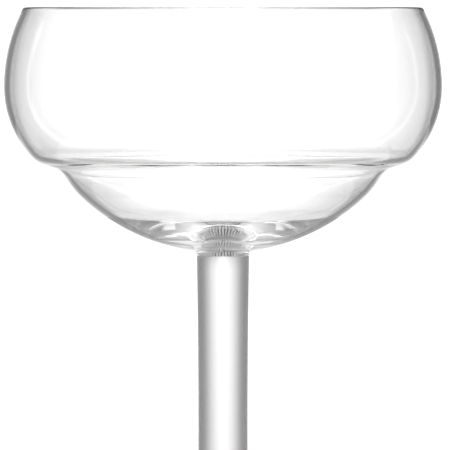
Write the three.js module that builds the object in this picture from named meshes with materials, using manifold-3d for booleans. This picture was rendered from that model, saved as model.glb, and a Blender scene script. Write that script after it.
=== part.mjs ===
// A coupe glass: a clear bowl with a stepped side, a satin stem and a round foot.
// The stem carries a fluted taper at each end. One seats in the bowl's base and one in the foot,
// and a thin ring of clear adhesive holds each of those two joints.
// Millimetres, +Z up, the foot standing on z = 0 and the axis of the glass on the Z axis.

import * as THREE from 'three';
import { mergeVertices } from 'three/addons/utils/BufferGeometryUtils.js';
import Module from 'manifold-3d';

const wasm = await Module();
wasm.setup();

// Bowl, outside: round bottom, step, shoulder, belly and rim
const BOTTOM_RADIUS = 34.05;
const BOTTOM_HEIGHT = 13.38;
const STEP_ARC = 20;
const STEP_SLOPE = 60;
const STEP_FILLET = 5;
const SHELF_SLOPE = 19;
const SHELF_LENGTH = 2.87;
const SHOULDER_ARC = 7;
const SHOULDER_SLOPE = 48;
const BELLY_ARC = 25;
const RIM_ARC = 41.6;
const RIM_RISE = 18.7;

// Bowl, inside: an even wall that turns at a knee into a thicker, flatter floor
const WALL = 1.4;
const KNEE_SLOPE = 34;
const KNEE_ARC = 15;
const FLOOR_THICKNESS = 3.05;

// Pads of the bowl and the foot, where the stem is joined
const PAD_RADIUS = 6.4;
const BOWL_PAD_STAND = 0.35;
const BOWL_PAD_FILLET = 0.7;
const FOOT_PAD_STAND = 0.6;
const FOOT_PAD_FILLET = 0.5;

// Fluted taper joint
const SOCKET_MOUTH_RADIUS = 5;
const SOCKET_END_RADIUS = 3.8;
const SOCKET_DEPTH = 2.5;
const FLUTE_COUNT = 40;
const FLUTE_DEPTH = 0.7;
const TAPER_CLEARANCE = 0.3;
const TAPER_ROOT = 1;
const BOND_THICKNESS = 0.2;

// Stem
const STEM_LENGTH = 82;
const STEM_END_RADIUS = 6.3;
const STEM_WAIST_RADIUS = 5.92;
const STEM_EDGE = 0.3;

// Foot
const FOOT_RADIUS = 39;
const FOOT_EDGE = 2.4;
const FOOT_DOME = 190;
const HOLLOW_RADIUS = 31;
const HOLLOW_DEPTH = 0.6;

// Fineness of the round faces
const SEGMENTS = 56;
const FACET_SAG = 0.1;
const CURVE_STEPS = 8;

const LEVEL = 0;
const UPRIGHT = Math.PI / 2;
const HALF_TURN = Math.PI;
const stepSlope = THREE.MathUtils.degToRad(STEP_SLOPE);
const shelfSlope = THREE.MathUtils.degToRad(SHELF_SLOPE);
const shoulderSlope = THREE.MathUtils.degToRad(SHOULDER_SLOPE);
const kneeSlope = THREE.MathUtils.degToRad(KNEE_SLOPE);

// A profile drawn as a chain of lines and tangent arcs. The heading is measured from level.
class ProfileWalk {
  constructor(radius, height, heading) {
    this.points = [new THREE.Vector2(radius, height)];
    this.heading = heading;
  }

  get end() {
    return this.points[this.points.length - 1];
  }

  get direction() {
    return new THREE.Vector2(Math.cos(this.heading), Math.sin(this.heading));
  }

  turn(heading) {
    this.heading = heading;
    return this;
  }

  line(length) {
    this.points.push(this.end.clone().addScaledVector(this.direction, length));
    return this;
  }

  // Bends to the left where the new heading is greater, and to the right where it is less
  arc(radius, heading) {
    const bendsLeft = heading > this.heading;
    const side = bendsLeft ? 1 : -1;
    const toLeft = new THREE.Vector2(-this.direction.y, this.direction.x);
    const centre = this.end.clone().addScaledVector(toLeft, side * radius);
    const quarter = side * UPRIGHT;
    const from = this.heading - quarter;
    const to = heading - quarter;
    const curve = new THREE.EllipseCurve(centre.x, centre.y, radius, radius, from, to, !bendsLeft);
    const facetAngle = Math.sqrt(8 * FACET_SAG / radius);
    const steps = Math.ceil(Math.abs(heading - this.heading) / facetAngle);
    this.points.push(...curve.getPoints(steps).slice(1));
    this.heading = heading;
    return this;
  }

  follow(curve) {
    this.points.push(...curve.getPoints(CURVE_STEPS).slice(1));
    return this;
  }

  // Closes the profile on the axis at its present height
  toAxis() {
    this.points.push(new THREE.Vector2(0, this.end.y));
    return this;
  }
}

function revolve(points, segments = SEGMENTS) {
  return new THREE.LatheGeometry(points, segments).rotateX(UPRIGHT);
}

// Turns a closed mesh into a solid, leaving out the empty triangles on the axis
function solidFrom(geometry) {
  const bare = geometry.clone();
  bare.deleteAttribute('normal');
  bare.deleteAttribute('uv');
  const merged = mergeVertices(bare);
  const corners = Array.from(merged.index.array);
  const kept = [];
  for (let i = 0; i < corners.length; i += 3) {
    const [a, b, c] = corners.slice(i, i + 3);
    if (a !== b && b !== c && c !== a) {
      kept.push(a, b, c);
    }
  }
  return new wasm.Manifold(new wasm.Mesh({
    numProp: 3,
    vertProperties: new Float32Array(merged.attributes.position.array),
    triVerts: new Uint32Array(kept),
  }));
}

function geometryFrom(solid) {
  const mesh = solid.getMesh();
  const geometry = new THREE.BufferGeometry();
  geometry.setAttribute('position', new THREE.BufferAttribute(mesh.vertProperties, 3));
  geometry.setIndex(new THREE.BufferAttribute(mesh.triVerts, 1));
  geometry.computeVertexNormals();
  return geometry;
}

// Socket radius over the flutes' crests, at a height above the socket's mouth
function socketRadius(height) {
  const lean = (SOCKET_END_RADIUS - SOCKET_MOUTH_RADIUS) / SOCKET_DEPTH;
  return SOCKET_MOUTH_RADIUS + lean * height;
}

// A cone from one height to another, with flutes cut between its crests
function flutedTaper(fromHeight, toHeight, inset) {
  const profile = new ProfileWalk(0, fromHeight, LEVEL)
    .line(socketRadius(fromHeight) - inset);
  profile.points.push(new THREE.Vector2(socketRadius(toHeight) - inset, toHeight));
  profile.toAxis();
  const columns = 2 * FLUTE_COUNT;
  const geometry = revolve(profile.points, columns);
  const position = geometry.attributes.position;
  for (let i = 0; i < position.count; i += 1) {
    const column = Math.floor(i / profile.points.length);
    const radius = Math.hypot(position.getX(i), position.getY(i));
    if (column % 2 === 1 && radius > FLUTE_DEPTH) {
      const share = (radius - FLUTE_DEPTH) / radius;
      position.setXY(i, position.getX(i) * share, position.getY(i) * share);
    }
  }
  return geometry;
}

// The hollow cut into a pad. It starts below the mouth, so that it opens the pad's face.
function socketCutter() {
  return solidFrom(flutedTaper(-TAPER_ROOT, SOCKET_DEPTH, 0));
}

// Bowl

const bottomArc = (BOTTOM_RADIUS ** 2 + BOTTOM_HEIGHT ** 2) / (2 * BOTTOM_HEIGHT);
const bottomSlope = Math.asin(BOTTOM_RADIUS / bottomArc);
const rimLean = UPRIGHT + Math.asin(RIM_RISE / RIM_ARC);

function bowlProfile() {
  const bottomCentre = BOWL_PAD_STAND + bottomArc;
  const filletReach = PAD_RADIUS + BOWL_PAD_FILLET;
  const filletSpan = bottomArc + BOWL_PAD_FILLET;
  const padWall = bottomCentre - Math.sqrt(filletSpan ** 2 - filletReach ** 2);
  // The floor's arc touches the knee's arc, and its lowest point is on the axis
  const wallArc = bottomArc - WALL;
  const kneeReach = (wallArc - KNEE_ARC) * Math.sin(kneeSlope);
  const kneeCentre = bottomCentre - (wallArc - KNEE_ARC) * Math.cos(kneeSlope);
  const kneeRise = kneeCentre - BOWL_PAD_STAND - FLOOR_THICKNESS;
  const floorArc = (kneeReach ** 2 + kneeRise ** 2 - KNEE_ARC ** 2) / (2 * (kneeRise - KNEE_ARC));
  const floorSlope = Math.asin(kneeReach / (floorArc - KNEE_ARC));
  return new ProfileWalk(0, 0, LEVEL)
    .line(PAD_RADIUS)
    .turn(UPRIGHT)
    .line(padWall)
    .arc(BOWL_PAD_FILLET, Math.asin(filletReach / filletSpan))
    .arc(bottomArc, bottomSlope)
    .arc(STEP_ARC, stepSlope)
    .arc(STEP_FILLET, shelfSlope)
    .line(SHELF_LENGTH)
    .arc(SHOULDER_ARC, shoulderSlope)
    .arc(BELLY_ARC, UPRIGHT)
    .arc(RIM_ARC, rimLean)
    .arc(WALL / 2, rimLean + HALF_TURN)
    .arc(RIM_ARC - WALL, UPRIGHT + HALF_TURN)
    .arc(BELLY_ARC - WALL, shoulderSlope + HALF_TURN)
    .arc(SHOULDER_ARC - WALL, shelfSlope + HALF_TURN)
    .line(SHELF_LENGTH)
    .arc(STEP_FILLET + WALL, stepSlope + HALF_TURN)
    .arc(STEP_ARC - WALL, bottomSlope + HALF_TURN)
    .arc(wallArc, kneeSlope + HALF_TURN)
    .arc(KNEE_ARC, floorSlope + HALF_TURN)
    .arc(floorArc, HALF_TURN)
    .toAxis()
    .points;
}

function bowlGeometry() {
  return geometryFrom(solidFrom(revolve(bowlProfile())).subtract(socketCutter()));
}

// Stem

function stemGeometry() {
  const bodyEnd = STEM_LENGTH - STEM_EDGE;
  const walk = new ProfileWalk(0, 0, LEVEL)
    .line(STEM_END_RADIUS - STEM_EDGE)
    .arc(STEM_EDGE, UPRIGHT)
    .follow(new THREE.QuadraticBezierCurve(
      new THREE.Vector2(STEM_END_RADIUS, STEM_EDGE),
      new THREE.Vector2(2 * STEM_WAIST_RADIUS - STEM_END_RADIUS, STEM_LENGTH / 2),
      new THREE.Vector2(STEM_END_RADIUS, bodyEnd),
    ))
    .arc(STEM_EDGE, HALF_TURN)
    .toAxis();
  const taper = flutedTaper(-TAPER_ROOT, SOCKET_DEPTH - TAPER_CLEARANCE, TAPER_CLEARANCE);
  const upper = solidFrom(taper.clone().translate(0, 0, STEM_LENGTH + BOND_THICKNESS));
  const lower = solidFrom(taper.rotateX(HALF_TURN).translate(0, 0, -BOND_THICKNESS));
  return geometryFrom(solidFrom(revolve(walk.points)).add(upper).add(lower));
}

// Adhesive ring between a pad and the flat end of the stem

function bondGeometry() {
  const inner = SOCKET_MOUTH_RADIUS;
  const width = STEM_END_RADIUS - STEM_EDGE - inner;
  const walk = new ProfileWalk(inner, 0, LEVEL)
    .line(width)
    .turn(UPRIGHT)
    .line(BOND_THICKNESS)
    .turn(HALF_TURN)
    .line(width);
  walk.points.push(walk.points[0].clone());
  return revolve(walk.points);
}

// Foot

const edgeArc = FOOT_EDGE / 2;
const edgeReach = FOOT_RADIUS - edgeArc;
const domeSpan = FOOT_DOME - edgeArc;
const domeCentre = edgeArc - Math.sqrt(domeSpan ** 2 - edgeReach ** 2);
const footHeight = domeCentre + FOOT_DOME + FOOT_PAD_STAND;

function footGeometry() {
  const hollowArc = (HOLLOW_RADIUS ** 2 + HOLLOW_DEPTH ** 2) / (2 * HOLLOW_DEPTH);
  const filletReach = PAD_RADIUS + FOOT_PAD_FILLET;
  const filletSpan = FOOT_DOME + FOOT_PAD_FILLET;
  const padWall = footHeight - domeCentre - Math.sqrt(filletSpan ** 2 - filletReach ** 2);
  const walk = new ProfileWalk(0, HOLLOW_DEPTH, LEVEL)
    .arc(hollowArc, -Math.asin(HOLLOW_RADIUS / hollowArc))
    .turn(LEVEL)
    .line(edgeReach - HOLLOW_RADIUS)
    .arc(edgeArc, HALF_TURN - Math.asin(edgeReach / domeSpan))
    .arc(FOOT_DOME, HALF_TURN - Math.asin(filletReach / filletSpan))
    .arc(FOOT_PAD_FILLET, UPRIGHT)
    .line(padWall)
    .toAxis();
  const socket = socketCutter().rotate([180, 0, 0]).translate([0, 0, footHeight]);
  return geometryFrom(solidFrom(revolve(walk.points)).subtract(socket));
}

// The assembled glass

const CLEAR_GLASS = { color: 0xf3f6f6, roughness: 0.02, metalness: 0, transparent: true, opacity: 0.35 };
const SATIN_GLASS = { color: 0xe9ebeb, roughness: 0.55, metalness: 0 };
const CLEAR_ADHESIVE = { color: 0xdfe2e2, roughness: 0.2, metalness: 0 };

const stemLevel = footHeight + BOND_THICKNESS;
const upperBondLevel = stemLevel + STEM_LENGTH;
const bowlLevel = upperBondLevel + BOND_THICKNESS;

function piece(name, geometry, finish, level) {
  const mesh = new THREE.Mesh(geometry, new THREE.MeshStandardMaterial(finish));
  mesh.name = name;
  mesh.position.z = level;
  return mesh;
}

const coupe = new THREE.Group();
coupe.add(
  piece('foot', footGeometry(), CLEAR_GLASS, 0),
  piece('foot_bond_ring', bondGeometry(), CLEAR_ADHESIVE, footHeight),
  piece('stem', stemGeometry(), SATIN_GLASS, stemLevel),
  piece('bowl_bond_ring', bondGeometry(), CLEAR_ADHESIVE, upperBondLevel),
  piece('bowl', bowlGeometry(), CLEAR_GLASS, bowlLevel),
);

export default coupe;
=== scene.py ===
"""Looks of a coupe glass: a clear stepped bowl on a satin stem and a clear foot.

Every piece is round, so one Geometry Nodes tree turns each profile about the Z axis and cuts the
flutes of the taper joints. Profiles are in millimetres and meshes in metres.
"""

import logging
import math
from dataclasses import dataclass, field
from enum import Enum
from typing import Any, NamedTuple

import bmesh
import bpy
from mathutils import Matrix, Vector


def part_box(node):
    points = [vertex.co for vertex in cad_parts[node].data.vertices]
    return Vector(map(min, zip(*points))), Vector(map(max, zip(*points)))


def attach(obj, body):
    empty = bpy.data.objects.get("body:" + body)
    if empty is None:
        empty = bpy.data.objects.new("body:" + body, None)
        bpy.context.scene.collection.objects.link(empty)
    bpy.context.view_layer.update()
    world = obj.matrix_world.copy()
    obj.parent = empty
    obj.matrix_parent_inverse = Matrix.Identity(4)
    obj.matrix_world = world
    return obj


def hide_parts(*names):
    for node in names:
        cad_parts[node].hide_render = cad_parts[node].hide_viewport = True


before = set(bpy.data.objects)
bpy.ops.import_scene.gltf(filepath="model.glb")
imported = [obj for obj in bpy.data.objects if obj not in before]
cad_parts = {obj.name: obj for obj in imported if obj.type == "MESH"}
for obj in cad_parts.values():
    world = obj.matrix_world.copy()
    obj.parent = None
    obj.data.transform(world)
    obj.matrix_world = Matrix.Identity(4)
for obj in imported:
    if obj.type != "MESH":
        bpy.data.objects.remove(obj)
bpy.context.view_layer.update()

MM = 0.001
LEVEL = 0.0
UPRIGHT = math.pi / 2
HALF_TURN = math.pi
FULL_TURN = 2 * math.pi
HALF_TURN_DEGREES = 180.0
LOWEST_COSINE = -1.0

log = logging.getLogger("coupe")


class Slot(Enum):
    """Material slots of the record."""

    CLEAR_GLASS = "clear_glass"
    SATIN_GLASS = "satin_glass"
    ADHESIVE = "clear_adhesive"


def linear(hex_colour: str) -> tuple[float, float, float, float]:
    """Turns an sRGB hex colour into linear values.

    Args:
        hex_colour: Colour written as #RRGGBB.

    Returns:
        Linear red, green and blue, and an alpha of one.
    """
    channels = [int(hex_colour[i:i + 2], 16) / 255 for i in (1, 3, 5)]
    red, green, blue = (
        c / 12.92 if c <= 0.04045 else ((c + 0.055) / 1.055) ** 2.4 for c in channels
    )
    return red, green, blue, 1.0


def add_node(
    tree: bpy.types.NodeTree,
    kind: str,
    inputs: dict[str | int, Any] | None = None,
    **settings: Any,
) -> bpy.types.Node:
    """Adds a node with its settings, input values and links.

    Args:
        tree: Tree that gets the node.
        kind: Type name of the node.
        inputs: Value, or output socket to link from, for each input by name or number.
        settings: Properties of the node itself.

    Returns:
        The new node.
    """
    node = tree.nodes.new(kind)
    for name, value in settings.items():
        setattr(node, name, value)
    for key, value in (inputs or {}).items():
        if isinstance(value, bpy.types.NodeSocket):
            tree.links.new(value, node.inputs[key])
        else:
            node.inputs[key].default_value = value
    return node


def grey(strength: float) -> tuple[float, float, float, float]:
    """Gives a neutral colour.

    Args:
        strength: Brightness, linear and possibly over one.

    Returns:
        Equal red, green and blue, and an alpha of one.
    """
    return strength, strength, strength, 1.0


def shade_ramp(ramp: bpy.types.ColorRamp, stops: list[tuple[float, float]]) -> None:
    """Sets the greys of a new colour ramp.

    Args:
        ramp: Ramp that still has its two first stops.
        stops: Place from nought to one, and brightness, of each stop in order.
    """
    ramp.elements.remove(ramp.elements[-1])
    for number, (place, strength) in enumerate(stops):
        stop = ramp.elements.new(place) if number else ramp.elements[0]
        stop.position = place
        stop.color = grey(strength)


def new_material(name: str) -> tuple[bpy.types.Material, bpy.types.NodeTree]:
    """Makes a material with an empty node tree.

    Args:
        name: Name of the material.

    Returns:
        The material and its tree.
    """
    material = bpy.data.materials.new(name)
    material.use_nodes = True
    material.node_tree.nodes.clear()
    return material, material.node_tree


@dataclass(frozen=True)
class FirePolishedGlass:
    """Soda-lime glass, pressed and fire-polished.

    It is colourless and perfectly smooth, with the faint slow waves that a mould leaves.
    """

    tint: str = "#FFFFFF"
    ior: float = 1.5
    roughness: float = 0.0
    wave_spacing_mm: float = 16.0
    wave_detail: float = 0.0
    wave_height_mm: float = 0.004

    def material(self) -> bpy.types.Material:
        """Builds the material.

        Returns:
            The clear glass.
        """
        material, tree = new_material("soda_lime_glass_fire_polished")
        place = add_node(tree, "ShaderNodeTexCoord")
        waves = add_node(tree, "ShaderNodeTexNoise", {
            "Vector": place.outputs["Object"],
            "Scale": 1 / (self.wave_spacing_mm * MM),
            "Detail": self.wave_detail,
        })
        bump = add_node(tree, "ShaderNodeBump", {
            "Height": waves.outputs["Fac"],
            "Strength": 1.0,
            "Distance": self.wave_height_mm * MM,
        })
        shader = add_node(tree, "ShaderNodeBsdfPrincipled", {
            "Base Color": linear(self.tint),
            "Roughness": self.roughness,
            "IOR": self.ior,
            "Transmission Weight": 1.0,
            "Normal": bump.outputs["Normal"],
        })
        add_node(tree, "ShaderNodeOutputMaterial", {"Surface": shader.outputs["BSDF"]})
        return material


@dataclass(frozen=True)
class EtchedGlass:
    """Soda-lime glass, drawn and acid-etched.

    It is milky white with a soft satin gloss, and drawing leaves faint streaks along it.
    """

    colour: str = "#FFFFFF"
    streak_colour: str = "#F4F4F4"
    ior: float = 1.5
    roughness: float = 0.25
    roughness_spread: float = 0.05
    transmission: float = 1.0
    streak_width_mm: float = 0.9
    streak_length_mm: float = 60.0
    streak_detail: float = 2.0
    grain_mm: float = 0.25
    grain_detail: float = 2.0
    grain_height_mm: float = 0.004

    def material(self) -> bpy.types.Material:
        """Builds the material.

        Returns:
            The satin glass.
        """
        material, tree = new_material("soda_lime_glass_acid_etched")
        place = add_node(tree, "ShaderNodeTexCoord")
        across = 1 / (self.streak_width_mm * MM)
        along = 1 / (self.streak_length_mm * MM)
        stretched = add_node(tree, "ShaderNodeMapping", {
            "Vector": place.outputs["Object"],
            "Scale": (across, across, along),
        })
        streaks = add_node(tree, "ShaderNodeTexNoise", {
            "Vector": stretched.outputs["Vector"],
            "Scale": 1.0,
            "Detail": self.streak_detail,
        })
        tone = add_node(tree, "ShaderNodeMix", {
            "Factor": streaks.outputs["Fac"],
            "A": linear(self.colour),
            "B": linear(self.streak_colour),
        }, data_type="RGBA")
        gloss = add_node(tree, "ShaderNodeMapRange", {
            "Value": streaks.outputs["Fac"],
            "To Min": self.roughness - self.roughness_spread,
            "To Max": self.roughness + self.roughness_spread,
        })
        # Etched pits are finer than a pixel, so the grain is drawn a quarter millimetre wide
        grain = add_node(tree, "ShaderNodeTexNoise", {
            "Vector": place.outputs["Object"],
            "Scale": 1 / (self.grain_mm * MM),
            "Detail": self.grain_detail,
        })
        bump = add_node(tree, "ShaderNodeBump", {
            "Height": grain.outputs["Fac"],
            "Strength": 1.0,
            "Distance": self.grain_height_mm * MM,
        })
        shader = add_node(tree, "ShaderNodeBsdfPrincipled", {
            "Base Color": tone.outputs["Result"],
            "Roughness": gloss.outputs["Result"],
            "IOR": self.ior,
            "Transmission Weight": self.transmission,
            "Normal": bump.outputs["Normal"],
        })
        add_node(tree, "ShaderNodeOutputMaterial", {"Surface": shader.outputs["BSDF"]})
        return material


@dataclass(frozen=True)
class FlutedEtchPaintedShade:
    """Etched flutes of a spigot, with painted shade in their furrows.

    The crests are white and the furrows darkened by painted shade, so that the flutes show as fine upright
    lines. A crest is fully white from the height on the cosine wave where it starts.
    """

    flute_count: int
    crest: float = 1.0
    # Brightness of the painted shade at the bottom of a furrow
    furrow: float = 0.05
    crest_start: float = 0.2
    roughness: float = 0.5

    def material(self) -> bpy.types.Material:
        """Builds the material.

        Returns:
            The lined glass.
        """
        material, tree = new_material("soda_lime_glass_etched_flutes_painted_shade")
        place = add_node(tree, "ShaderNodeTexCoord")
        way = add_node(tree, "ShaderNodeSeparateXYZ", {0: place.outputs["Object"]})
        angle = add_node(tree, "ShaderNodeMath", {
            0: way.outputs["Y"], 1: way.outputs["X"]}, operation="ARCTAN2")
        phase = add_node(tree, "ShaderNodeMath", {
            0: angle.outputs[0], 1: self.flute_count}, operation="MULTIPLY")
        wave = add_node(tree, "ShaderNodeMath", {0: phase.outputs[0]}, operation="COSINE")
        # Painted shade: the colour darkens from each crest into its furrow, in step with the flutes cut in
        # the mesh
        tone = add_node(tree, "ShaderNodeMapRange", {
            "Value": wave.outputs[0],
            "From Min": LOWEST_COSINE,
            "From Max": self.crest_start,
            "To Min": self.furrow,
            "To Max": self.crest,
        })
        shader = add_node(tree, "ShaderNodeBsdfPrincipled", {
            "Base Color": tone.outputs["Result"],
            "Roughness": self.roughness,
        })
        add_node(tree, "ShaderNodeOutputMaterial", {"Surface": shader.outputs["BSDF"]})
        return material


@dataclass(frozen=True)
class WettedGlass:
    """Glass face that clear adhesive wets.

    Glass and adhesive bend light alike, so the face can't be seen.
    """

    colour: str = "#FFFFFF"
    opacity: float = 0.0

    def material(self) -> bpy.types.Material:
        """Builds the material.

        Returns:
            The unseen face.
        """
        material, tree = new_material("soda_lime_glass_wetted")
        shader = add_node(tree, "ShaderNodeBsdfPrincipled", {
            "Base Color": linear(self.colour),
            "Alpha": self.opacity,
        })
        add_node(tree, "ShaderNodeOutputMaterial", {"Surface": shader.outputs["BSDF"]})
        return material


@dataclass(frozen=True)
class CuredAdhesive:
    """Acrylic adhesive, cured clear.

    Its edge is a fine glassy line, faintly cloudy.
    """

    colour: str = "#FFFFFF"
    cloud_colour: str = "#F2F3F3"
    ior: float = 1.48
    roughness: float = 0.1
    cloud_mm: float = 1.5
    cloud_detail: float = 3.0

    def material(self) -> bpy.types.Material:
        """Builds the material.

        Returns:
            The adhesive.
        """
        material, tree = new_material("acrylic_adhesive_cured")
        place = add_node(tree, "ShaderNodeTexCoord")
        clouds = add_node(tree, "ShaderNodeTexNoise", {
            "Vector": place.outputs["Object"],
            "Scale": 1 / (self.cloud_mm * MM),
            "Detail": self.cloud_detail,
        })
        tone = add_node(tree, "ShaderNodeMix", {
            "Factor": clouds.outputs["Fac"],
            "A": linear(self.colour),
            "B": linear(self.cloud_colour),
        }, data_type="RGBA")
        shader = add_node(tree, "ShaderNodeBsdfPrincipled", {
            "Base Color": tone.outputs["Result"],
            "Roughness": self.roughness,
            "IOR": self.ior,
            "Transmission Weight": 1.0,
        })
        add_node(tree, "ShaderNodeOutputMaterial", {"Surface": shader.outputs["BSDF"]})
        return material


@dataclass(frozen=True)
class MattPaint:
    """Matt emulsion paint, rolled on a board: light grey, with no gloss to speak of."""

    colour: str = "#B4B4B3"
    roughness: float = 0.9
    stipple_mm: float = 2.0
    stipple_height_mm: float = 0.02

    def material(self) -> bpy.types.Material:
        """Builds the material.

        Returns:
            The paint of the floor.
        """
        material, tree = new_material("emulsion_paint_rolled")
        place = add_node(tree, "ShaderNodeTexCoord")
        stipple = add_node(tree, "ShaderNodeTexNoise", {
            "Vector": place.outputs["Object"],
            "Scale": 1 / (self.stipple_mm * MM),
        })
        bump = add_node(tree, "ShaderNodeBump", {
            "Height": stipple.outputs["Fac"],
            "Distance": self.stipple_height_mm * MM,
        })
        shader = add_node(tree, "ShaderNodeBsdfPrincipled", {
            "Base Color": linear(self.colour),
            "Roughness": self.roughness,
            "Normal": bump.outputs["Normal"],
        })
        add_node(tree, "ShaderNodeOutputMaterial", {"Surface": shader.outputs["BSDF"]})
        return material


class Row(NamedTuple):
    """One point of a profile, which becomes one ring of the turned piece.

    Flute is the share of the flutes' depth that is cut there, and seat is one on the faces of a
    socket or on the flutes of a spigot.
    """

    radius: float
    height: float
    flute: float = 0.0
    seat: float = 0.0


class Profile:
    """A profile drawn as a chain of lines and tangent arcs. The heading is measured from level."""

    FACET_SAG_MM = 0.005

    def __init__(self, start: Row, heading: float = LEVEL) -> None:
        """Starts the profile at a point."""
        self.rows = [start]
        self.heading = heading

    def turn(self, heading: float) -> "Profile":
        """Makes a sharp corner."""
        self.heading = heading
        return self

    def to(self, *rows: Row) -> "Profile":
        """Runs straight through the given points."""
        self.rows.extend(rows)
        return self

    def line(self, length: float) -> "Profile":
        """Runs straight on for a length."""
        end = self.rows[-1]
        return self.to(Row(
            end.radius + length * math.cos(self.heading),
            end.height + length * math.sin(self.heading),
        ))

    def to_axis(self) -> "Profile":
        """Moves the last point, a rounding error away from the axis, onto it."""
        self.rows[-1] = self.rows[-1]._replace(radius=0.0)
        return self

    def arc(self, radius: float, heading: float) -> "Profile":
        """Bends to a new heading: left where it is greater, right where it is less.

        Args:
            radius: Radius of the arc.
            heading: Heading at its end.

        Returns:
            The profile.
        """
        start, first = self.rows[-1], self.heading
        side = math.copysign(1.0, heading - first)
        # The middle of a facet that turns this far lies inside its arc by the sag
        facet = math.sqrt(8 * self.FACET_SAG_MM / radius)
        steps = math.ceil(abs(heading - first) / facet)
        for step in range(1, steps + 1):
            now = first + (heading - first) * step / steps
            self.rows.append(Row(
                start.radius + side * radius * (math.sin(now) - math.sin(first)),
                start.height - side * radius * (math.cos(now) - math.cos(first)),
            ))
        self.heading = heading
        return self

    def bezier(self, points: list[tuple[float, float]], steps: int) -> "Profile":
        """Follows a Bezier curve that starts at the profile's end.

        Args:
            points: The curve's later control points, as radius and height.
            steps: Number of straight stretches.

        Returns:
            The profile.
        """
        start = self.rows[-1]
        control = [(start.radius, start.height), *points]
        degree = len(control) - 1
        for step in range(1, steps + 1):
            t = step / steps
            weights = [
                math.comb(degree, i) * t ** i * (1 - t) ** (degree - i) for i in range(degree + 1)
            ]
            self.rows.append(Row(
                sum(w * c[0] for w, c in zip(weights, control)),
                sum(w * c[1] for w, c in zip(weights, control)),
            ))
        return self


class Finish(NamedTuple):
    """Materials of a piece and of the socket or spigot on it."""

    surface: bpy.types.Material
    seat: bpy.types.Material


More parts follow.
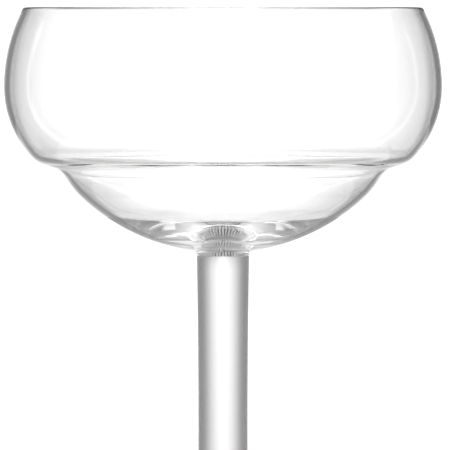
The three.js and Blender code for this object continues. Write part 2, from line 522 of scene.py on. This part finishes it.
class Lathe:
    """Geometry Nodes that turn a strip of profile points about the Z axis."""

    MARKS = ("flute", "seat")
    SEATED = 0.99
    SEGMENTS = 400
    WELD_MM = 0.001
    CREASE_DEGREES = 75.0

    def __init__(self, flute_count: int, flute_depth: float) -> None:
        """Builds the tree once for all pieces.

        Args:
            flute_count: Number of flutes around a taper.
            flute_depth: Depth of a flute in millimetres.
        """
        self.flute_count = flute_count
        self.flute_depth = flute_depth
        self.tree = self._tree()

    def _tree(self) -> bpy.types.NodeTree:
        """Builds the tree.

        Returns:
            A tree that takes the strip and gives the turned, fluted and dressed mesh.
        """
        tree = bpy.data.node_groups.new("turn_profile", "GeometryNodeTree")
        for name, kind in (
            ("Strip", "NodeSocketGeometry"), ("Segments", "NodeSocketInt"),
            ("Flute Count", "NodeSocketInt"), ("Flute Depth", "NodeSocketFloat"),
            ("Weld", "NodeSocketFloat"),
            ("Surface", "NodeSocketMaterial"), ("Seat", "NodeSocketMaterial"),
        ):
            tree.interface.new_socket(name, in_out="INPUT", socket_type=kind)
        tree.interface.new_socket("Piece", in_out="OUTPUT", socket_type="NodeSocketGeometry")
        given = add_node(tree, "NodeGroupInput").outputs
        turned = self._turned(tree, given)
        add_node(tree, "NodeGroupOutput", {0: self._dressed(tree, given, turned)})
        return tree

    def _turned(
        self, tree: bpy.types.NodeTree, given: bpy.types.bpy_prop_collection,
    ) -> bpy.types.NodeSocket:
        """Adds the nodes that turn the strip and cut its flutes.

        Args:
            tree: Tree that gets the nodes.
            given: The tree's inputs.

        Returns:
            The turned grid, with the seat marked on its points.
        """
        strip = given["Strip"]
        # A grid column for each segment of the turn and one to close it, and a row for each point
        rows = add_node(tree, "GeometryNodeAttributeDomainSize", {0: strip}).outputs["Point Count"]
        columns = add_node(tree, "FunctionNodeIntegerMath", {
            0: given["Segments"], 1: 1}, operation="ADD")
        grid = add_node(tree, "GeometryNodeMeshGrid", {
            "Vertices X": columns.outputs[0], "Vertices Y": rows})
        index = add_node(tree, "GeometryNodeInputIndex").outputs[0]
        row = add_node(tree, "FunctionNodeIntegerMath", {0: index, 1: rows}, operation="MODULO")
        column = add_node(tree, "FunctionNodeIntegerMath", {0: index, 1: rows}, operation="DIVIDE_FLOOR")
        position = add_node(tree, "GeometryNodeInputPosition")
        point = add_node(tree, "GeometryNodeSampleIndex", {
            0: strip, "Value": position.outputs[0], "Index": row.outputs[0]}, data_type="FLOAT_VECTOR")
        drawn = add_node(tree, "ShaderNodeSeparateXYZ", {0: point.outputs[0]})
        marked = {}
        for name in self.MARKS:
            mark = add_node(tree, "GeometryNodeInputNamedAttribute", {"Name": name}, data_type="FLOAT")
            marked[name] = add_node(tree, "GeometryNodeSampleIndex", {
                0: strip, "Value": mark.outputs["Attribute"], "Index": row.outputs[0],
            }, data_type="FLOAT").outputs[0]
        # The flutes are a cosine around the turn, from no depth at a crest to full depth in a furrow
        share = add_node(tree, "ShaderNodeMath", {
            0: column.outputs[0], 1: given["Segments"]}, operation="DIVIDE")
        angle = add_node(tree, "ShaderNodeMath", {0: share.outputs[0], 1: FULL_TURN}, operation="MULTIPLY")
        phase = add_node(tree, "ShaderNodeMath", {
            0: angle.outputs[0], 1: given["Flute Count"]}, operation="MULTIPLY")
        wave = add_node(tree, "ShaderNodeMath", {0: phase.outputs[0]}, operation="COSINE")
        furrow = add_node(tree, "ShaderNodeMath", {
            0: wave.outputs[0], 1: -0.5, 2: 0.5}, operation="MULTIPLY_ADD")
        depth = add_node(tree, "ShaderNodeMath", {
            0: furrow.outputs[0], 1: given["Flute Depth"]}, operation="MULTIPLY")
        cut = add_node(tree, "ShaderNodeMath", {
            0: depth.outputs[0], 1: marked["flute"]}, operation="MULTIPLY")
        radius = add_node(tree, "ShaderNodeMath", {
            0: drawn.outputs["X"], 1: cut.outputs[0]}, operation="SUBTRACT")
        upright = add_node(tree, "ShaderNodeCombineXYZ", {
            "X": radius.outputs[0], "Z": drawn.outputs["Z"]})
        place = add_node(tree, "ShaderNodeVectorRotate", {
            "Vector": upright.outputs[0], "Angle": angle.outputs[0]}, rotation_type="Z_AXIS")
        turned = add_node(tree, "GeometryNodeSetPosition", {
            "Geometry": grid.outputs["Mesh"], "Position": place.outputs[0]})
        return add_node(tree, "GeometryNodeStoreNamedAttribute", {
            "Geometry": turned.outputs[0], "Name": "seat", "Value": marked["seat"],
        }, data_type="FLOAT", domain="POINT").outputs[0]

    def _dressed(
        self,
        tree: bpy.types.NodeTree,
        given: bpy.types.bpy_prop_collection,
        turned: bpy.types.NodeSocket,
    ) -> bpy.types.NodeSocket:
        """Adds the nodes that close the turned grid and give it its materials.

        Args:
            tree: Tree that gets the nodes.
            given: The tree's inputs.
            turned: The turned grid.

        Returns:
            The finished piece.
        """
        welded = add_node(tree, "GeometryNodeMergeByDistance", {
            "Geometry": turned, "Distance": given["Weld"]})
        smooth = add_node(tree, "GeometryNodeSetShadeSmooth", {"Geometry": welded.outputs[0]})
        real = add_node(tree, "GeometryNodeRealizeInstances", {"Geometry": smooth.outputs[0]})
        dressed = add_node(tree, "GeometryNodeSetMaterial", {
            "Geometry": real.outputs[0], "Material": given["Surface"]})
        # A face is part of the seat where all its corners are
        seat = add_node(tree, "GeometryNodeInputNamedAttribute", {"Name": "seat"}, data_type="FLOAT")
        within = add_node(tree, "FunctionNodeCompare", {
            0: seat.outputs["Attribute"], 1: self.SEATED}, data_type="FLOAT", operation="GREATER_THAN")
        return add_node(tree, "GeometryNodeSetMaterial", {
            "Geometry": dressed.outputs[0],
            "Selection": within.outputs[0],
            "Material": given["Seat"],
        }).outputs[0]

    def make(self, name: str, profile: Profile, level: float, finish: Finish) -> bpy.types.Object:
        """Turns a profile into a plain mesh piece.

        Args:
            name: Name of the piece.
            profile: Profile, in millimetres above its own datum.
            level: Height of that datum in metres.
            finish: Materials of the piece.

        Returns:
            The piece, with its place in its mesh.
        """
        strip = bpy.data.meshes.new(name + "_strip")
        points = [(r.radius * MM, 0.0, r.height * MM + level) for r in profile.rows]
        strip.from_pydata(points, [(i, i + 1) for i in range(len(points) - 1)], [])
        for mark in self.MARKS:
            values = strip.attributes.new(mark, "FLOAT", "POINT")
            values.data.foreach_set("value", [getattr(r, mark) for r in profile.rows])
        piece = bpy.data.objects.new(name, strip)
        bpy.context.scene.collection.objects.link(piece)
        modifier = piece.modifiers.new("turn", "NODES")
        modifier.node_group = self.tree
        given = {
            "Segments": self.SEGMENTS, "Flute Count": self.flute_count,
            "Flute Depth": self.flute_depth * MM, "Weld": self.WELD_MM * MM,
            "Surface": finish.surface, "Seat": finish.seat,
        }
        for socket in self.tree.interface.items_tree:
            if socket.name in given:
                modifier[socket.identifier] = given[socket.name]
        evaluated = piece.evaluated_get(bpy.context.evaluated_depsgraph_get())
        mesh = bpy.data.meshes.new_from_object(evaluated)
        piece.modifiers.remove(modifier)
        piece.data = mesh
        mesh.name = name
        bpy.data.meshes.remove(strip)
        self._close(mesh)
        return piece

    def _close(self, mesh: bpy.types.Mesh) -> None:
        """Turns the faces outwards and creases the sharp corners."""
        shell = bmesh.new()
        shell.from_mesh(mesh)
        bmesh.ops.recalc_face_normals(shell, faces=shell.faces)
        shell.to_mesh(mesh)
        shell.free()
        mesh.set_sharp_from_angle(angle=math.radians(self.CREASE_DEGREES))


@dataclass(frozen=True)
class TaperJoint:
    """Fluted taper that joins the stem to a pad, with sizes in millimetres."""

    pad_radius: float = 6.4
    pad_edge: float = 0.05
    mouth_radius: float = 5.0
    end_radius: float = 3.8
    depth: float = 2.5
    clearance: float = 0.3
    bond_thickness: float = 0.2
    bond_radius: float = 6.0
    film_gap: float = 0.02
    flute_count: int = 40
    flute_depth: float = 0.7

    def radius_at(self, height: float) -> float:
        """Gives the socket's radius at a height above its mouth."""
        return self.mouth_radius + (self.end_radius - self.mouth_radius) * height / self.depth

    def socket(self) -> Profile:
        """Starts a piece's profile with the socket and the flat ring of its pad.

        Returns:
            A profile that has reached the pad's rim, heading outwards.
        """
        return Profile(Row(0.0, self.depth, seat=1.0)).to(
            Row(self.end_radius, self.depth, flute=1.0, seat=1.0),
            Row(self.mouth_radius, 0.0, flute=1.0, seat=1.0),
            Row(self.pad_radius - self.pad_edge, 0.0),
        )

    def spigot(self) -> list[Row]:
        """Gives the spigot's rows, as heights above the pad, from its tip to the stem's end."""
        tip = self.depth - self.clearance
        root = -self.bond_thickness
        return [
            Row(0.0, tip),
            Row(self.radius_at(tip) - self.clearance, tip, flute=1.0, seat=1.0),
            Row(self.radius_at(root) - self.clearance, root, flute=1.0, seat=1.0),
        ]


@dataclass
class Bowl:
    """Clear bowl with a round bottom, a step, a shoulder, a belly and an incurved rim."""

    joint: TaperJoint
    bottom_radius: float = 34.05
    bottom_height: float = 13.38
    step_arc: float = 20.0
    step_slope: float = math.radians(60)
    step_fillet: float = 5.0
    shelf_slope: float = math.radians(19)
    shelf_length: float = 2.87
    shoulder_arc: float = 7.0
    shoulder_slope: float = math.radians(48)
    belly_arc: float = 25.0
    rim_arc: float = 41.6
    rim_rise: float = 18.7
    wall: float = 1.4
    knee_slope: float = math.radians(34)
    knee_arc: float = 15.0
    floor_thickness: float = 3.05
    pad_stand: float = 0.35
    pad_fillet: float = 0.7

    def profile(self) -> Profile:
        """Draws the bowl from its socket, up the outside, over the rim and down the inside.

        Returns:
            The profile, with its datum on the pad.
        """
        joint = self.joint
        bottom_arc = (self.bottom_radius ** 2 + self.bottom_height ** 2) / (2 * self.bottom_height)
        bottom_slope = math.asin(self.bottom_radius / bottom_arc)
        bottom_centre = self.pad_stand + bottom_arc
        reach = joint.pad_radius + self.pad_fillet
        span = bottom_arc + self.pad_fillet
        pad_wall = bottom_centre - math.sqrt(span ** 2 - reach ** 2)
        rim_lean = UPRIGHT + math.asin(self.rim_rise / self.rim_arc)
        # The floor's arc touches the knee's arc, and its lowest point is on the axis
        wall_arc = bottom_arc - self.wall
        knee_reach = (wall_arc - self.knee_arc) * math.sin(self.knee_slope)
        knee_centre = bottom_centre - (wall_arc - self.knee_arc) * math.cos(self.knee_slope)
        knee_rise = knee_centre - self.pad_stand - self.floor_thickness
        floor_arc = (knee_reach ** 2 + knee_rise ** 2 - self.knee_arc ** 2) / (
            2 * (knee_rise - self.knee_arc))
        floor_slope = math.asin(knee_reach / (floor_arc - self.knee_arc))
        return (
            joint.socket()
            .arc(joint.pad_edge, UPRIGHT)
            .line(pad_wall - joint.pad_edge)
            .arc(self.pad_fillet, math.asin(reach / span))
            .arc(bottom_arc, bottom_slope)
            .arc(self.step_arc, self.step_slope)
            .arc(self.step_fillet, self.shelf_slope)
            .line(self.shelf_length)
            .arc(self.shoulder_arc, self.shoulder_slope)
            .arc(self.belly_arc, UPRIGHT)
            .arc(self.rim_arc, rim_lean)
            .arc(self.wall / 2, rim_lean + HALF_TURN)
            .arc(self.rim_arc - self.wall, UPRIGHT + HALF_TURN)
            .arc(self.belly_arc - self.wall, self.shoulder_slope + HALF_TURN)
            .arc(self.shoulder_arc - self.wall, self.shelf_slope + HALF_TURN)
            .line(self.shelf_length)
            .arc(self.step_fillet + self.wall, self.step_slope + HALF_TURN)
            .arc(self.step_arc - self.wall, bottom_slope + HALF_TURN)
            .arc(wall_arc, self.knee_slope + HALF_TURN)
            .arc(self.knee_arc, floor_slope + HALF_TURN)
            .arc(floor_arc, HALF_TURN)
            .to_axis()
        )


@dataclass
class Stem:
    """Satin rod with a slight waist and a fluted spigot at each end."""

    joint: TaperJoint
    length: float = 82.0
    end_radius: float = 6.3
    waist_radius: float = 5.92
    edge: float = 0.3
    body_steps: int = 24

    def profile(self) -> Profile:
        """Draws the stem from its lower tip to its upper tip.

        Returns:
            The profile, with its datum on the lower flat end.
        """
        rise = self.joint.bond_thickness
        rows = self.joint.spigot()
        lower = [r._replace(height=-r.height - rise) for r in rows]
        upper = [r._replace(height=self.length + r.height + rise) for r in reversed(rows)]
        return (
            Profile(lower[0])
            .to(*lower[1:], Row(self.end_radius - self.edge, 0.0))
            .arc(self.edge, UPRIGHT)
            .bezier([
                (2 * self.waist_radius - self.end_radius, self.length / 2),
                (self.end_radius, self.length - self.edge),
            ], self.body_steps)
            .arc(self.edge, HALF_TURN)
            .to(*upper)
        )


@dataclass
class BondRing:
    """Film of adhesive between a pad and the stem's flat end."""

    joint: TaperJoint

    def profile(self) -> Profile:
        """Draws the ring's section, with its datum on the stem's end.

        The glass faces above and below are not wetted, so a hair of air parts them from the film.

        Returns:
            The profile, closed on itself.
        """
        inner, outer = self.joint.mouth_radius, self.joint.bond_radius
        low, high = self.joint.film_gap, self.joint.bond_thickness - self.joint.film_gap
        return Profile(Row(inner, low)).to(
            Row(outer, low), Row(outer, high), Row(inner, high), Row(inner, low))


@dataclass
class Foot:
    """Clear disc with a low dome, a round edge and a shallow hollow beneath."""

    joint: TaperJoint
    radius: float = 39.0
    edge: float = 2.4
    dome: float = 190.0
    pad_stand: float = 0.6
    pad_fillet: float = 0.5
    hollow_radius: float = 31.0
    hollow_depth: float = 0.6

    def profile(self) -> Profile:
        """Draws the foot from the middle of its hollow, round the edge and up to the socket.

        Returns:
            The profile, with its datum on the plane that the foot stands on.
        """
        joint = self.joint
        edge_arc = self.edge / 2
        edge_reach = self.radius - edge_arc
        dome_span = self.dome - edge_arc
        dome_centre = edge_arc - math.sqrt(dome_span ** 2 - edge_reach ** 2)
        height = dome_centre + self.dome + self.pad_stand
        hollow_arc = (self.hollow_radius ** 2 + self.hollow_depth ** 2) / (2 * self.hollow_depth)
        reach = joint.pad_radius + self.pad_fillet
        span = self.dome + self.pad_fillet
        pad_wall = height - dome_centre - math.sqrt(span ** 2 - reach ** 2)
        socket = [r._replace(height=height - r.height) for r in reversed(joint.socket().rows)]
        return (
            Profile(Row(0.0, self.hollow_depth))
            .arc(hollow_arc, -math.asin(self.hollow_radius / hollow_arc))
            .turn(LEVEL)
            .line(edge_reach - self.hollow_radius)
            .arc(edge_arc, HALF_TURN - math.asin(edge_reach / dome_span))
            .arc(self.dome, HALF_TURN - math.asin(reach / span))
            .arc(self.pad_fillet, UPRIGHT)
            .line(pad_wall - joint.pad_edge)
            .arc(joint.pad_edge, HALF_TURN)
            .to(*socket[1:])
        )


class LightBand(NamedTuple):
    """Brightness of the studio at an angle from the backdrop's middle, in degrees."""

    angle: float
    strength: float


class SkyLayer(NamedTuple):
    """Even light that fades in from its foot to its top, in degrees above eye level."""

    foot: float
    top: float
    strength: float


class ScreenBand(NamedTuple):
    """Brightness of a screen at a distance from the axis of the glass, in metres."""

    reach: float
    strength: float


@dataclass(frozen=True)
class OpalScreen:
    """Opal acrylic sheet lit from behind, which glows white and darkens away from the glass.

    It stands behind the bowl and just beside the picture. The bowl's wall bends the view outwards
    onto it, so its shades draw the dark edge of the bowl and the soft grey band inside that edge.
    Its back, foot and head are in metres.
    """

    bands: tuple[ScreenBand, ...]
    side: int
    back: float = 0.13
    foot: float = 0.098
    head: float = 0.3

    def material(self) -> bpy.types.Material:
        """Builds the material.

        Returns:
            The glowing sheet.
        """
        material, tree = new_material("opal_acrylic_backlit")
        inner, outer = self.bands[0].reach, self.bands[-1].reach
        place = add_node(tree, "ShaderNodeTexCoord")
        way = add_node(tree, "ShaderNodeSeparateXYZ", {0: place.outputs["Object"]})
        share = add_node(tree, "ShaderNodeMapRange", {
            "Value": way.outputs["X"],
            "From Min": self.side * inner,
            "From Max": self.side * outer,
        })
        ramp = add_node(tree, "ShaderNodeValToRGB", {"Fac": share.outputs["Result"]})
        shade_ramp(ramp.color_ramp, [
            ((band.reach - inner) / (outer - inner), band.strength) for band in self.bands
        ])
        glow = add_node(tree, "ShaderNodeEmission", {"Color": ramp.outputs["Color"]})
        add_node(tree, "ShaderNodeOutputMaterial", {"Surface": glow.outputs["Emission"]})
        return material

    def board(self) -> bpy.types.Object:
        """Stands the sheet up, out of the camera's direct sight.

        Returns:
            The sheet.
        """
        inner, outer = (self.side * band.reach for band in (self.bands[0], self.bands[-1]))
        mesh = bpy.data.meshes.new("screen")
        mesh.from_pydata([
            (inner, self.back, self.foot), (outer, self.back, self.foot),
            (outer, self.back, self.head), (inner, self.back, self.head),
        ], [], [(0, 1, 2, 3)])
        mesh.materials.append(self.material())
        board = bpy.data.objects.new("screen", mesh)
        board.visible_camera = False
        bpy.context.scene.collection.objects.link(board)
        return board


@dataclass
class Studio:
    """Floor, light and camera around the glass, with angles in degrees and the floor in metres.

    Rows and columns are pixels of the photograph.
    """

    floor_radius: float = 0.2
    floor_sides: int = 128
    above: tuple[LightBand, ...] = (
        LightBand(0, 1.3), LightBand(8, 1.2), LightBand(16, 1.0), LightBand(21, 0.8),
        LightBand(27, 0.6), LightBand(33, 0.42), LightBand(42, 0.3), LightBand(60, 0.25),
        LightBand(110, 0.3), LightBand(138, 0.35), LightBand(155, 0.5), LightBand(170, 0.85),
        LightBand(180, 1.1),
    )
    below: tuple[LightBand, ...] = (
        LightBand(0, 0.95), LightBand(1.5, 0.9), LightBand(4, 0.55), LightBand(8, 0.36),
        LightBand(14, 0.29), LightBand(30, 0.28), LightBand(60, 0.34), LightBand(110, 0.45),
        LightBand(150, 0.6), LightBand(180, 1.1),
    )
    dusk_top: float = -2.3
    dusk_foot: float = -11.5
    ceiling: SkyLayer = SkyLayer(foot=10, top=28, strength=0.4)
    softbox: SkyLayer = SkyLayer(foot=55, top=70, strength=4.6)
    screens: tuple[OpalScreen, ...] = (
        OpalScreen((
            ScreenBand(0.057, 1.15), ScreenBand(0.064, 1.12), ScreenBand(0.068, 1.0),
            ScreenBand(0.073, 0.5), ScreenBand(0.078, 0.25), ScreenBand(0.092, 0.22),
            ScreenBand(0.119, 0.28), ScreenBand(0.140, 0.45),
        ), side=-1),
        OpalScreen((
            ScreenBand(0.049, 1.2), ScreenBand(0.064, 1.15), ScreenBand(0.067, 0.95),
            ScreenBand(0.071, 0.5), ScreenBand(0.076, 0.22), ScreenBand(0.095, 0.2),
            ScreenBand(0.119, 0.25), ScreenBand(0.140, 0.45),
        ), side=1),
    )
    frame_pixels: float = 450.0
    pixel_mm: float = 0.2395
    focal_pixels: float = 10000.0
    horizon_row: float = 8.0
    parting_row: float = 254.5
    axis_column: float = 223.0
    sensor_mm: float = 36.0
    glass_bounces: int = 40

    def floor(self, finish: MattPaint) -> bpy.types.Object:
        """Lays the floor disc that the glass stands on.

        Args:
            finish: Paint of the floor.

        Returns:
            The floor.
        """
        shape = bmesh.new()
        bmesh.ops.create_circle(
            shape, cap_ends=True, segments=self.floor_sides, radius=self.floor_radius)
        mesh = bpy.data.meshes.new("floor")
        shape.to_mesh(mesh)
        shape.free()
        mesh.materials.append(finish.material())
        floor = bpy.data.objects.new("floor", mesh)
        bpy.context.scene.collection.objects.link(floor)
        return floor

    def light(self) -> bpy.types.World:
        """Lights the studio by a backdrop and by a softbox in a dim ceiling.

        The backdrop is white, fades aside and is narrower below eye level. Some light also comes from
        behind the camera.

        Returns:
            The world.
        """
        world = bpy.data.worlds.new("studio")
        world.use_nodes = True
        tree = world.node_tree
        tree.nodes.clear()
        place = add_node(tree, "ShaderNodeTexCoord")
        way = add_node(tree, "ShaderNodeSeparateXYZ", {0: place.outputs["Generated"]})
        aside = add_node(tree, "ShaderNodeMath", {0: way.outputs["X"]}, operation="ABSOLUTE")
        angle = add_node(tree, "ShaderNodeMath", {
            0: aside.outputs[0], 1: way.outputs["Y"]}, operation="ARCTAN2")
        share = add_node(tree, "ShaderNodeMath", {0: angle.outputs[0], 1: HALF_TURN}, operation="DIVIDE")
        above = add_node(tree, "ShaderNodeValToRGB", {"Fac": share.outputs[0]})
        below = add_node(tree, "ShaderNodeValToRGB", {"Fac": share.outputs[0]})
        for ramp, bands in ((above, self.above), (below, self.below)):
            shade_ramp(ramp.color_ramp, [
                (band.angle / HALF_TURN_DEGREES, band.strength) for band in bands
            ])
        # Each of these covers the sky so far from its foot upwards
        sky = below.outputs["Color"]
        for foot, top, tone in (
            (self.dusk_foot, self.dusk_top, above.outputs["Color"]),
            (self.ceiling.foot, self.ceiling.top, grey(self.ceiling.strength)),
            (self.softbox.foot, self.softbox.top, grey(self.softbox.strength)),
        ):
            rise = add_node(tree, "ShaderNodeMapRange", {
                "Value": way.outputs["Z"],
                "From Min": math.sin(math.radians(foot)),
                "From Max": math.sin(math.radians(top)),
            })
            layer = add_node(tree, "ShaderNodeMix", {
                "Factor": rise.outputs["Result"],
                "A": sky,
                "B": tone,
            }, data_type="RGBA")
            sky = layer.outputs["Result"]
        glow = add_node(tree, "ShaderNodeBackground", {"Color": sky})
        add_node(tree, "ShaderNodeOutputWorld", {"Surface": glow.outputs[0]})
        return world

    def camera(self, parting_level: float) -> bpy.types.Object:
        """Stands the camera level with the rim, far in front of the glass.

        Args:
            parting_level: Height in metres of the line between stem and bowl.

        Returns:
            The camera.
        """
        lens = bpy.data.cameras.new("camera")
        lens.sensor_width = self.sensor_mm
        lens.lens = self.focal_pixels / self.frame_pixels * self.sensor_mm
        middle = self.frame_pixels / 2
        camera = bpy.data.objects.new("camera", lens)
        camera.location = (
            (middle - self.axis_column) * self.pixel_mm * MM,
            -self.focal_pixels * self.pixel_mm * MM,
            parting_level + (self.parting_row - self.horizon_row) * self.pixel_mm * MM,
        )
        tilt = math.atan((middle - self.horizon_row) / self.focal_pixels)
        camera.rotation_euler = (UPRIGHT - tilt, 0.0, 0.0)
        bpy.context.scene.collection.objects.link(camera)
        return camera

    def set_up(self, parting_level: float) -> None:
        """Places floor, screens, light and camera in the scene.

        Args:
            parting_level: Height in metres of the line between stem and bowl.
        """
        scene = bpy.context.scene
        self.floor(MattPaint())
        for screen in self.screens:
            screen.board()
        scene.world = self.light()
        scene.camera = self.camera(parting_level)
        scene.view_settings.view_transform = "Standard"
        scene.cycles.max_bounces = self.glass_bounces
        scene.cycles.transmission_bounces = self.glass_bounces
        scene.cycles.glossy_bounces = self.glass_bounces
        scene.cycles.transparent_max_bounces = self.glass_bounces


@dataclass
class Coupe:
    """The whole glass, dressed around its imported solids."""

    joint: TaperJoint = field(default_factory=TaperJoint)

    def build(self) -> None:
        """Turns every piece, and lets each stand for its solid."""
        lathe = Lathe(self.joint.flute_count, self.joint.flute_depth)
        clear = Finish(FirePolishedGlass().material(), WettedGlass().material())
        # The spigots' flutes carry painted shade in their furrows
        satin = Finish(EtchedGlass().material(), FlutedEtchPaintedShade(self.joint.flute_count).material())
        adhesive = CuredAdhesive().material()
        film = Finish(adhesive, adhesive)
        bond = BondRing(self.joint)
        stem_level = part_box("foot_bond_ring")[1].z
        plan = (
            ("foot", "clear_foot", Foot(self.joint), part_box("foot")[0].z, clear, Slot.CLEAR_GLASS),
            ("foot_bond_ring", "lower_film", bond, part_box("foot_bond_ring")[0].z, film, Slot.ADHESIVE),
            ("stem", "satin_stem", Stem(self.joint), stem_level, satin, Slot.SATIN_GLASS),
            ("bowl_bond_ring", "upper_film", bond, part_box("bowl_bond_ring")[0].z, film, Slot.ADHESIVE),
            ("bowl", "clear_bowl", Bowl(self.joint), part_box("bowl")[0].z, clear, Slot.CLEAR_GLASS),
        )
        for node, name, part, level, finish, slot in plan:
            piece = lathe.make(name, part.profile(), level, finish)
            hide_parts(node)
            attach(piece, "root")
            log.info("%s stands for %s: %d faces", name, node, len(piece.data.polygons))


def main() -> None:
    """Builds the glass and its studio."""
    logging.basicConfig(level=logging.INFO, format="%(name)s: %(message)s")
    Coupe().build()
    Studio().set_up(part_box("bowl")[0].z)


if __name__ == "__main__":
    main()
